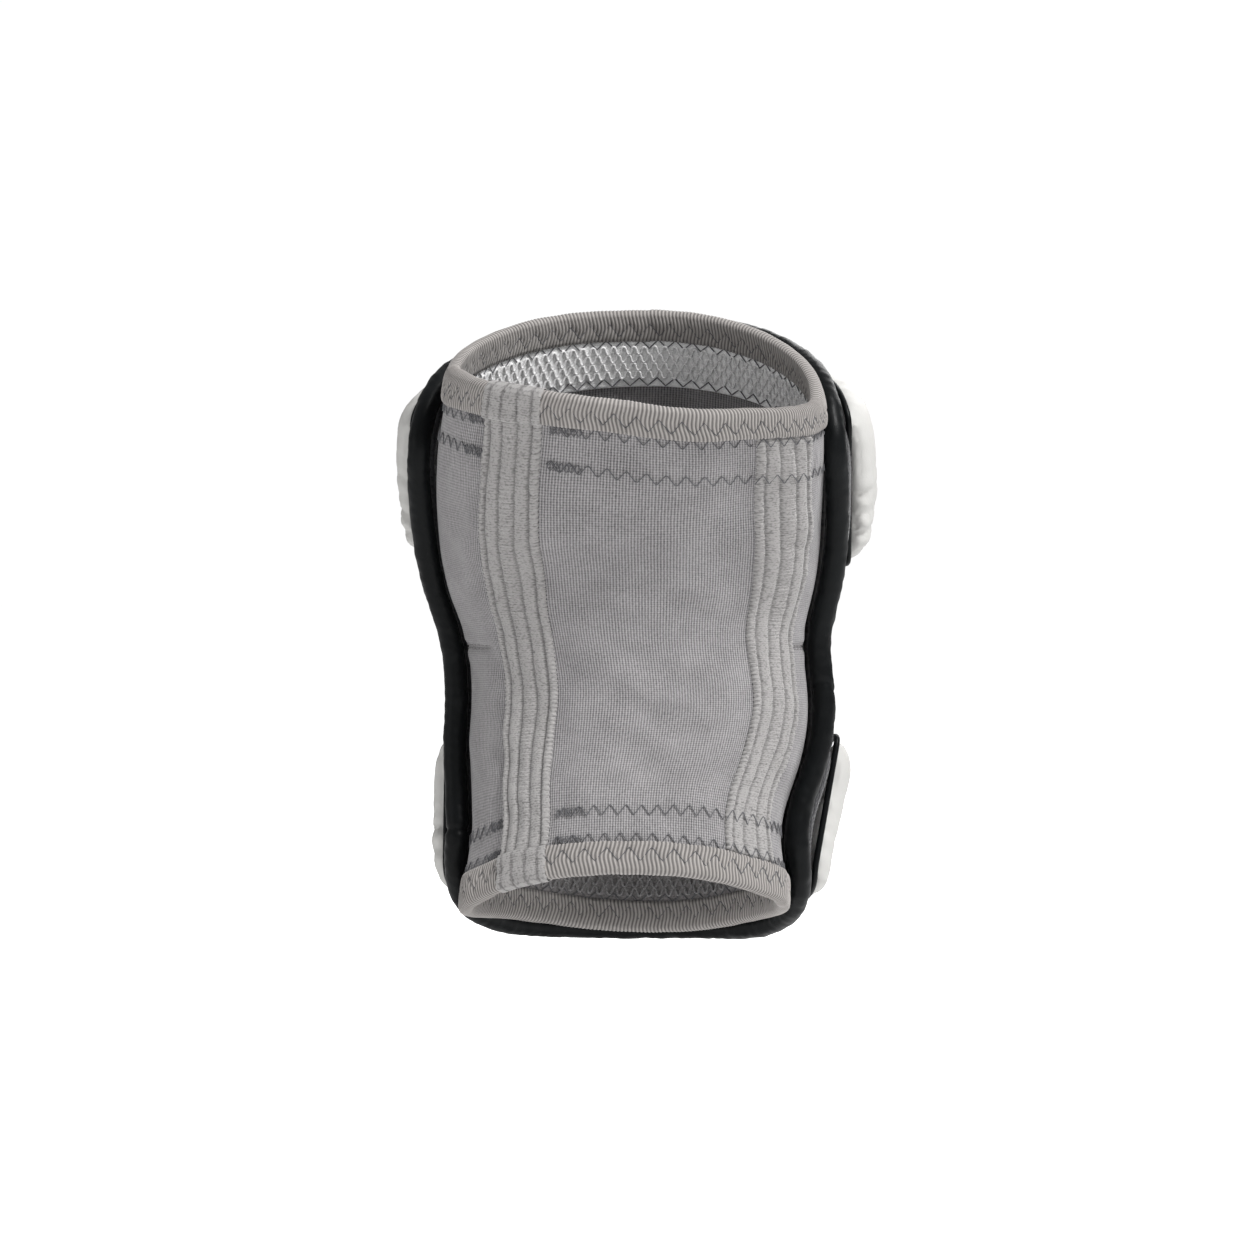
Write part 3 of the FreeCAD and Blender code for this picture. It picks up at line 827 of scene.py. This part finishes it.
def build_pad():
    end, middle = np.linspace(0, 8, 12), np.linspace(PAD_BOTTOM + 10, PAD_TOP - 10, 100)
    s = np.concatenate([PAD_BOTTOM + end, middle, PAD_TOP - end[::-1]])
    side = np.linspace(0, 0.09, 12)
    share = np.concatenate([-1 + side[:-1], np.linspace(-0.91, 0.91, 130), 1 - side[::-1][1:]])
    grid_s, grid_share = np.meshgrid(s, share, indexing="ij")
    edge = pad_edge(grid_s)
    grid_a = 180 + grid_share * (180 - edge)
    outer = pad_at(grid_s, grid_a, pad_height(grid_s, grid_a, grid_share))
    inner = pad_at(grid_s, grid_a, PAD_BACK)
    points, faces = shell(outer, inner)
    uv = np.stack([grid_a * 1.4, grid_s], -1).reshape(-1, 2)
    pad = make("pad_base", points, faces, np.concatenate([uv, uv]), M_MESH)
    nodes = ["pad_cover_upper", "pad_cover_lower", "pad_base_foam_upper", "pad_base_foam_lower"]
    finish_piece(pad, BOTH, nodes)
    parts = []
    for side in (-1, 1):
        line_s = np.linspace(PAD_BOTTOM + 9, PAD_TOP - 9, 500)
        parts.append(stitches(on_pad(line_s, 0.935 * side + 0 * line_s), 2.6, 0.8, 0.3))
    for s_line in (PAD_TOP - 5, PAD_BOTTOM + 5):
        line_share = np.linspace(-0.9, 0.9, 500)
        parts.append(stitches(on_pad(s_line + 0 * line_share, line_share), 2.6, 0.8, 0.3))
    sewn = make("pad_stitches", *together(parts), material=M_BLACK)
    finish_piece(sewn, BOTH)


def roll_line():
    """The edge roll's centre line: a closed loop of (s, a)."""
    corner = PAD_CORNER
    route = []
    top, low = ROLL_TOP - corner, ROLL_BOTTOM + corner
    tilt = PAD_CORNER_ANGLE
    for s in np.arange(low, top, 1.2):
        route.append((s, ROLL_ANGLE))
    for q in np.linspace(0, math.pi / 2, 40)[:-1]:
        route.append((top + corner * math.sin(q), ROLL_ANGLE + tilt * (1 - math.cos(q))))
    for a in np.arange(ROLL_ANGLE + tilt, 180, 0.9):
        route.append((ROLL_TOP, a))
    up = route
    down = []
    for a in np.arange(180, ROLL_ANGLE + tilt, -0.9):
        down.append((ROLL_BOTTOM, a))
    for q in np.linspace(math.pi / 2, 0, 40)[:-1]:
        down.append((low - corner * math.sin(q), ROLL_ANGLE + tilt * (1 - math.cos(q))))
    right = down + up
    left = [(s, 360 - a) for s, a in right[::-1]]
    return np.array(right + left)


def resampled(values, far, where):
    """A closed line of vectors, known at the distances far, at other distances."""
    columns = [np.interp(where, far, np.append(values[:, k], values[0, k])) for k in range(3)]
    return np.stack(columns, -1)


def build_roll():
    """The leather roll round the pad, with a lapped joint, a pinch and a seam along its inner side."""
    route = roll_line()
    s, a = route[:, 0], route[:, 1]
    line = pad_at(s, a, PAD_BACK + ROLL_RADIUS)
    step = np.linalg.norm(np.roll(line, -1, 0) - line, axis=1)
    keep = step > 0.2
    line, s, a = line[keep], s[keep], a[keep]
    outward = pad_at(s, a, PAD_BACK + ROLL_RADIUS + 5) - line
    outward /= np.linalg.norm(outward, axis=1)[:, None]
    far = np.concatenate([[0], np.cumsum(np.linalg.norm(np.diff(line, axis=0), axis=1))])
    samples = int(far[-1] / 0.9)
    full = np.append(far, far[-1] + np.linalg.norm(line[0] - line[-1]))
    where = np.linspace(0, full[-1], samples, endpoint=False)
    line, outward = resampled(line, full, where), resampled(outward, full, where)
    ahead = np.roll(line, -1, 0) - np.roll(line, 1, 0)
    ahead /= np.linalg.norm(ahead, axis=1)[:, None]
    side = np.cross(ahead, outward)
    side /= np.linalg.norm(side, axis=1)[:, None]
    up = np.cross(side, ahead)
    sides = 28
    turn = np.arange(sides) * 2 * math.pi / sides
    swell = ROLL_RADIUS * (1 + 0.035 * ripple(where, 0 * where, 60, 51))[:, None]
    crease = 0.13 * ripple(where[:, None], turn[None] * ROLL_RADIUS * 0.6, 9, 52)
    crease = crease + 0.1 * ripple(where[:, None], turn[None] * ROLL_RADIUS, 4.5, 53)
    z = line[:, 2][:, None]
    on_left = line[:, 0][:, None] < 0
    lap = np.where(on_left, np.exp(-((z + 75) / 1.2) ** 2), 0) * -1.0
    lap = lap + np.where(on_left & (z < -75), 0.45, 0) * np.exp(-np.clip(-75 - z, 0, 60) / 14)
    pinch = -0.6 * np.exp(-((z + 17 + 4.5 * np.sin(turn)[None]) / 1.4) ** 2)
    lap = lap + np.where(~on_left, pinch, 0)
    seam = -0.55 * np.exp(-((np.cos(turn)[None] + 0.35) / 0.12) ** 2) * (np.sin(turn)[None] > 0)
    radius = swell + crease + lap + seam
    around = np.cos(turn)[None, :, None] * up[:, None] + np.sin(turn)[None, :, None] * side[:, None]
    points = line[:, None] + radius[..., None] * around
    faces = grid_faces(len(line), sides, 0, False, True, True)
    roll = make("edge_roll", points.reshape(-1, 3), faces, material=M_ROLL)
    nodes = ["edge_roll_upper", "edge_roll_lower", "edge_roll_cord_upper", "edge_roll_cord_lower"]
    finish_piece(roll, BOTH, nodes)


# ---- cushions

VOXEL = 0.0032  # metres
CUSHION_ANGLE = 78.0  # half span round the leg, in degrees

def cushion_reach(near, far, corner, corner_share):
    """A cushion's edges along the leg. near is (side edge, middle edge), on the side of the knee cup."""
    side, middle = near
    way = corner if far > side else -corner

    def reach(share):
        inner = side + (middle - side) * (1 - share * share)
        rounding = way * drawn_in(abs(share) - (1 - corner_share), corner_share)
        return inner + rounding, far - rounding

    return reach


def cup_reach(share):
    half = CUP_HALF * np.sqrt(1 - share * share)
    return -half, half


def pillow_grid(reach, half_angle, base, middle, end, rows=41, columns=61, edge=3.0, inset=0.0):
    """A crowned pad's grid: shares across and along it, s, angle, and its low and high sides."""
    share = -np.cos(np.linspace(0, math.pi, columns)) * 0.99
    t = -np.cos(np.linspace(0, math.pi, rows))
    share, t = np.meshgrid(share, t, indexing="ij")
    low, high = reach(share)
    low, high = np.minimum(low, high) + inset, np.maximum(low, high) - inset
    s = (low + high) / 2 + t * (high - low) / 2
    a = 180 + share * (half_angle - inset)
    top = end + (middle - end) * (1 - abs(share))
    dome = np.sqrt(np.clip((1 - t ** 4) * (1 - share ** 8), 0, 1))
    return share, t, s, a, base + inset, base + edge - inset + (top - edge) * dome


def puffed(obj, base_test, cap, pressure=4.0, frames=20):
    """Voxel-remeshes a closed piece and inflates it as cloth, with its underside held."""
    mod = obj.modifiers.new("remesh", "REMESH")
    mod.mode, mod.voxel_size, mod.use_smooth_shade = "VOXEL", VOXEL, True
    bake(obj)
    co = vertices(obj)
    held = obj.vertex_groups.new(name="held")
    held.add([int(k) for k in np.nonzero(base_test(co * 1000))[0]], 1.0, "REPLACE")
    mod = obj.modifiers.new("cloth", "CLOTH")
    settings = mod.settings
    settings.quality, settings.mass = 6, 0.25
    settings.tension_stiffness = settings.compression_stiffness = 14
    settings.shear_stiffness, settings.bending_stiffness = 6, 1.2
    settings.use_pressure, settings.uniform_pressure_force = True, pressure
    settings.effector_weights.gravity = 0
    settings.vertex_group_mass = "held"
    scene = bpy.context.scene
    for k in range(1, frames + 1):
        scene.frame_set(k)
    bake(obj)
    scene.frame_set(1)
    moved = vertices(obj) - co
    size = np.linalg.norm(moved, axis=1)[:, None]
    set_vertices(obj, co + moved * np.minimum(1, cap * 0.001 / np.maximum(size, 1e-9)))
    obj.vertex_groups.clear()
    return obj


def bake(obj):
    """Makes an object's modified mesh its own."""
    graph = bpy.context.evaluated_depsgraph_get()
    mesh = bpy.data.meshes.new_from_object(obj.evaluated_get(graph))
    old = obj.data
    obj.modifiers.clear()
    obj.data = mesh
    bpy.data.meshes.remove(old)
    mesh.polygons.foreach_set("use_smooth", [True] * len(mesh.polygons))


def vertices(obj):
    co = np.zeros(len(obj.data.vertices) * 3)
    obj.data.vertices.foreach_get("co", co)
    return co.reshape(-1, 3)


def set_vertices(obj, co):
    obj.data.vertices.foreach_set("co", np.asarray(co).ravel())
    obj.data.update()


def normals(obj):
    out = np.zeros(len(obj.data.vertices) * 3)
    obj.data.vertices.foreach_get("normal", out)
    return out.reshape(-1, 3)


def build_cushion(name, reach, half_angle, base, middle, end, body, nodes,
                  channels, pleats, seed, half_width):
    """A puffy leather cushion: inflated, then gathered along its edges and quilted along channels."""
    share, t, s, a, low_d, high_d = pillow_grid(reach, half_angle, base, middle, end, inset=0.6)
    outer, inner = at(s, a, high_d), at(s, a, low_d)
    points, faces = shell(outer, inner)
    obj = make(name, points, faces, material=M_CUSHION)
    tree = kdtree.KDTree(share.size * 2)
    every = np.concatenate([outer.reshape(-1, 3), inner.reshape(-1, 3)])
    for k, p in enumerate(every):
        tree.insert(p, k)
    tree.balance()

    def look_up(co):
        found = np.array([tree.find(p)[1] for p in co])
        under = found >= share.size
        found = found % share.size
        return share.ravel()[found], t.ravel()[found], s.ravel()[found], under

    puffed(obj, lambda co: look_up(co)[3], 4.0)
    mod = obj.modifiers.new("fine", "SUBSURF")
    mod.levels = mod.render_levels = 1
    bake(obj)
    co = vertices(obj) * 1000
    share_v, t_v, s_v, under = look_up(co)
    low, high = reach(share_v)
    half_length = abs(high - low) / 2
    inset_side = (1 - abs(share_v)) * half_width
    inset_end = (1 - abs(t_v)) * half_length
    edge = np.minimum(inset_side, inset_end)
    sideways = abs(share_v) ** 6 / (abs(share_v) ** 6 + abs(t_v) ** 6 + 1e-6)
    across = share_v * half_width
    wander = 1.6 * ripple(across, s_v, 40, seed)
    fold_side = abs(np.sin(math.pi * (s_v + wander) / 8.6))
    fold_end = abs(np.sin(math.pi * (across + 2 * wander) / 10.5))
    strength = 0.55 + 0.45 * ripple(across, s_v, 34, seed + 1)
    fold = (sideways * fold_side * pleats(s_v) + (1 - sideways) * fold_end) * np.clip(strength, 0.1, 1.2)
    push = 2.1 * (fold - 0.55) * np.exp(-edge / 10.0) + 0.35 * ripple(across, s_v, 20, seed + 2)
    for line in channels:
        away = abs(share_v - line) * half_width
        push = push - 3.2 * np.exp(-(away / 3.4) ** 2) * smooth(edge, 2, 10)
        push = push + 0.35 * np.sin(s_v * 1.15) * np.exp(-((away - 4.5) / 3.0) ** 2)
    push = np.where(under, 0, push)
    set_vertices(obj, (co + normals(obj) * push[:, None]) * 0.001)
    finish_piece(obj, body, nodes)
    return obj


def build_piping(name, reach, half_angle, d, body, grow, radius=1.3):
    """The seam line round a cushion's foot."""
    share = -np.cos(np.linspace(0, math.pi, 90)) * 0.99
    low, high = reach(share)
    low, high = np.minimum(low, high) - grow, np.maximum(low, high) + grow
    s = np.concatenate([low, high[::-1]])
    a = 180 + np.concatenate([share, share[::-1]]) * (half_angle + grow * 0.7)
    line = at(s, a, d)
    far = np.concatenate([[0], np.cumsum(np.linalg.norm(np.diff(line, axis=0), axis=1))])
    full = np.append(far, far[-1] + np.linalg.norm(line[0] - line[-1]))
    where = np.arange(0, full[-1], 1.2)
    line = resampled(line, full, where)
    for _ in range(6):
        line = (line + np.roll(line, 1, 0) + np.roll(line, -1, 0)) / 3
    pipe = make(name, *tube(line, radius, 10, True), material=M_ROLL)
    finish_piece(pipe, body)


def build_cushions():
    base = PAD_FACE
    thigh = cushion_reach((31.0, 60.0), 110.0, 12.0, 0.17)
    shin = cushion_reach((-31.0, -60.0), -101.0, 12.0, 0.17)
    channels = (-0.38, 0.38)
    nodes = ["thigh_cushion_cover", "thigh_cushion_foam"]
    build_cushion("thigh_cushion", thigh, CUSHION_ANGLE, base, 17.5, 19.5, THIGH, nodes,
                  channels, lambda s: 0.25 + smooth(-s, -92, -60), 61, 118)
    nodes = ["shin_cushion_cover", "shin_cushion_foam"]
    build_cushion("shin_cushion", shin, CUSHION_ANGLE, base, 17.5, 17.0, SHIN, nodes,
                  channels, lambda s: 0.35 + smooth(-s, 60, 85), 71, 104)
    build_piping("thigh_cushion_seam", thigh, CUSHION_ANGLE, base + 0.9, THIGH, 0.8)
    build_piping("shin_cushion_seam", shin, CUSHION_ANGLE, base + 0.9, SHIN, 0.8)


def build_cup():
    _, _, s, a, low_d, high_d = pillow_grid(cup_reach, CUP_ANGLE, 6.6, 6.0, 6.0, 33, 41, edge=2.4)
    side = at(s, a, np.minimum(high_d, 11.4))
    points, faces = shell(side, at(s, a, low_d))
    base = make("knee_cup_base", points, faces, material=M_MESH)
    finish_piece(base, CUP, ["knee_cup_base_foam"])
    nodes = ["knee_cup_cover", "knee_cup_foam"]
    build_cushion("knee_cup", cup_reach, CUP_ANGLE, 11.8, 16.0, 16.0, CUP, nodes,
                  (), lambda s: 1.0 + 0 * s, 81, 42)
    build_piping("knee_cup_seam", cup_reach, CUP_ANGLE, 11.9, CUP, 0.3)


# ---- build

build_sleeve()
build_tape("left")
build_tape("right")
build_zigzags()
build_dart_stitches()
build_binding("top", TOP, -1, THIGH)
build_binding("bottom", BOTTOM, 1, SHIN)
build_tape_end("top", TOP, -1, THIGH)
build_tape_end("bottom", BOTTOM, 1, SHIN)
build_grip("top", TOP, -1, THIGH, M_BAND, M_SILICONE)
# The shin opening's grip band and silicone use the darker copies, which are painted shade.
build_grip("bottom", BOTTOM, 1, SHIN, M_BAND_PAINTED_SHADE, M_SILICONE_PAINTED_SHADE)
build_pad()
build_roll()
build_cushions()
build_cup()

# ---- studio

FLOOR_HALF = 9
floor_z = cad_low.z - 0.06
mesh = bpy.data.meshes.new("floor")
floor_corners = [(x * FLOOR_HALF, y * FLOOR_HALF, floor_z) for x, y in ((-1, -1), (1, -1), (1, 1), (-1, 1))]
mesh.from_pydata(floor_corners, [], [(0, 1, 2, 3)])
floor = bpy.data.objects.new("floor", mesh)
bpy.context.scene.collection.objects.link(floor)
mat, tree, shader = new_material("floor_white", (0.97, 0.97, 0.97), 0.9, Emission_Color=(1, 1, 1, 1))
seen = node(tree, "ShaderNodeLightPath").outputs["Is Camera Ray"]
tree.links.new(math_node(tree, "MULTIPLY_ADD", seen, 0.66, 0.06), shader.inputs["Emission Strength"])
mesh.materials.append(mat)

world = bpy.data.worlds.new("studio")
bpy.context.scene.world = world
world.use_nodes = True
sky = world.node_tree
sky.nodes["Background"].inputs["Color"].default_value = (1, 1, 1, 1)
seen = node(sky, "ShaderNodeLightPath").outputs["Is Camera Ray"]
sky.links.new(math_node(sky, "MULTIPLY_ADD", seen, 0.67, 0.35), sky.nodes["Background"].inputs["Strength"])


def area_light(name, place, target, size, power):
    light = bpy.data.lights.new(name, "AREA")
    light.shape, light.size, light.energy = "DISK", size, power
    obj = bpy.data.objects.new(name, light)
    bpy.context.scene.collection.objects.link(obj)
    obj.location = place
    obj.rotation_euler = (Vector(target) - Vector(place)).to_track_quat("-Z", "Y").to_euler()


area_light("key", (1.0, -0.75, 1.6), (0, -0.02, 0.08), 0.45, 44)
area_light("fill", (-1.4, -0.9, 0.3), (0, 0, 0), 1.2, 3)
area_light("front", (0.5, 1.6, 1.0), (0, 0, 0), 1.2, 14)

camera = bpy.data.objects.new("camera", bpy.data.cameras.new("camera"))
bpy.context.scene.collection.objects.link(camera)
bpy.context.scene.camera = camera
yaw, pitch, distance = math.radians(5.5), math.radians(1.5), 1.6
target = Vector((-0.001, -0.045, 0.011))
back = Vector((math.sin(yaw) * math.cos(pitch), -math.cos(yaw) * math.cos(pitch), math.sin(pitch)))
camera.location = target + back * distance
camera.rotation_euler = (-back).to_track_quat("-Z", "Y").to_euler()
camera.data.sensor_width = 36
camera.data.lens = 36 * distance / 0.5125
camera.data.clip_end = 50
bpy.context.scene.view_settings.view_transform = "Standard"
